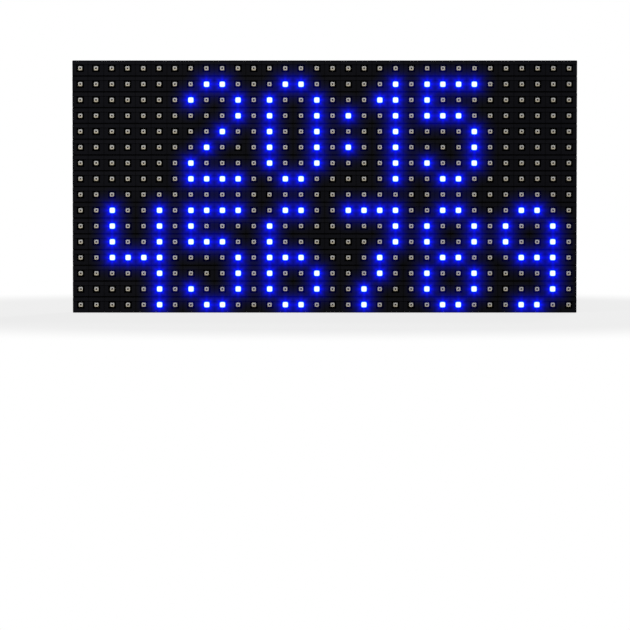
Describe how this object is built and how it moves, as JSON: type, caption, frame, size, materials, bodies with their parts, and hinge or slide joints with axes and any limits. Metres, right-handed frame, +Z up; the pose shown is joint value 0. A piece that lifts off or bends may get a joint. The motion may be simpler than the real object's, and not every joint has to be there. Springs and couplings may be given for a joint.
{
  "type": "led display panel",
  "caption": "Flat LED matrix module: louvred black front mask with a grid of square LEDs, green board and ribbed back frame with threaded inserts and data headers.",
  "frame": {"origin": "centre of the four threaded inserts, on the back mounting face", "axes": "+X to the right as seen from the front, +Y from the lit face to the back, +Z up"},
  "size_m": [0.32, 0.0172, 0.16],
  "materials": {
    "mask_plastic": "fine-textured black moulded plastic",
    "frame_plastic": "black glass-filled moulded plastic, slightly mottled",
    "board": "green solder mask behind, black in front",
    "led_body": "pale LED package with a dark lens",
    "brass": "turned brass with a knurl",
    "screw_steel": "zinc-plated steel",
    "chip_black": "moulded chip body",
    "can_metal": "bare aluminium can",
    "can_base": "moulded base",
    "ceramic": "ceramic chip capacitor",
    "header_plastic": "moulded connector body",
    "pin_metal": "gold-flashed pin",
    "contact_metal": "tinned contact",
    "sticker_white": "blank white paper"
  },
  "bodies": {
    "root": {"back_frame": "frame_plastic", "blank_sticker": "sticker_white", "brass_inserts": "brass", "bus_chip": "chip_black", "capacitor_bases": "can_base", "capacitor_cans": "can_metal", "case_screws": "screw_steel", "chip_capacitors": "ceramic", "circuit_board": "board", "driver_chip_01": "chip_black", "driver_chip_02": "chip_black", "driver_chip_03": "chip_black", "driver_chip_04": "chip_black", "driver_chip_05": "chip_black", "driver_chip_06": "chip_black", "driver_chip_07": "chip_black", "driver_chip_08": "chip_black", "driver_chip_09": "chip_black", "driver_chip_10": "chip_black", "driver_chip_11": "chip_black", "driver_chip_12": "chip_black", "front_mask": "mask_plastic", "input_header_pins": "pin_metal", "input_header_shell": "header_plastic", "led_row_01": "led_body", "led_row_02": "led_body", "led_row_03": "led_body", "led_row_04": "led_body", "led_row_05": "led_body", "led_row_06": "led_body", "led_row_07": "led_body", "led_row_08": "led_body", "led_row_09": "led_body", "led_row_10": "led_body", "led_row_11": "led_body", "led_row_12": "led_body", "led_row_13": "led_body", "led_row_14": "led_body", "led_row_15": "led_body", "led_row_16": "led_body", "output_header_pins": "pin_metal", "output_header_shell": "header_plastic", "power_header_body": "header_plastic", "power_header_contacts": "contact_metal", "power_header_feet": "contact_metal", "switch_chip_1": "chip_black", "switch_chip_2": "chip_black"}
  },
  "joints": []
}
